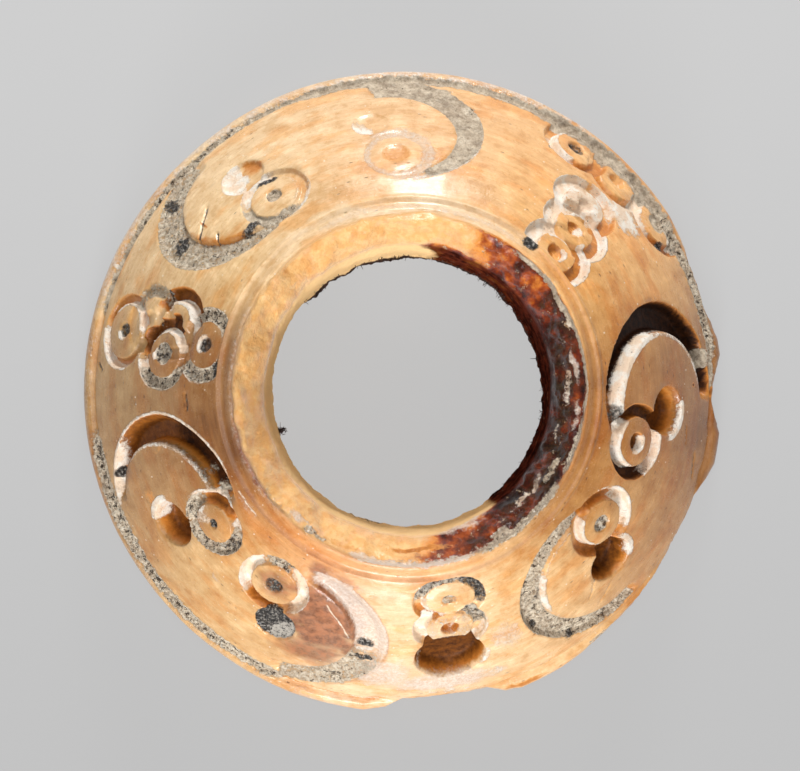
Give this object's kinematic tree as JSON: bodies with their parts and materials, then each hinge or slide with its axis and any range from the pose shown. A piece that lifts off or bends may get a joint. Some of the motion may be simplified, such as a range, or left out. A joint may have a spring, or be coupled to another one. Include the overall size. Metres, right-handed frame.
{
  "type": "bone spindle whorl",
  "caption": "Domed bone ring that slides on a hand spindle as its flywheel, with a wide central bore, a raised collar, and a carved flank of crescents and drilled ring-and-dot marks.",
  "frame": {"origin": "middle of the flat base, on the axis of the whorl's outside", "axes": "+Z up along the turning axis, from the base to the collar; +Y towards the worn, shallow-cut side; +X to the right when seen from above with +Y up"},
  "size_m": [0.0279, 0.0279, 0.0089],
  "materials": {
    "bone": "polished, worn bone with a satin gloss; grey soil in the cuts and a dark brown stained bore"
  },
  "bodies": {
    "root": {"bone_whorl": "bone"}
  },
  "joints": []
}
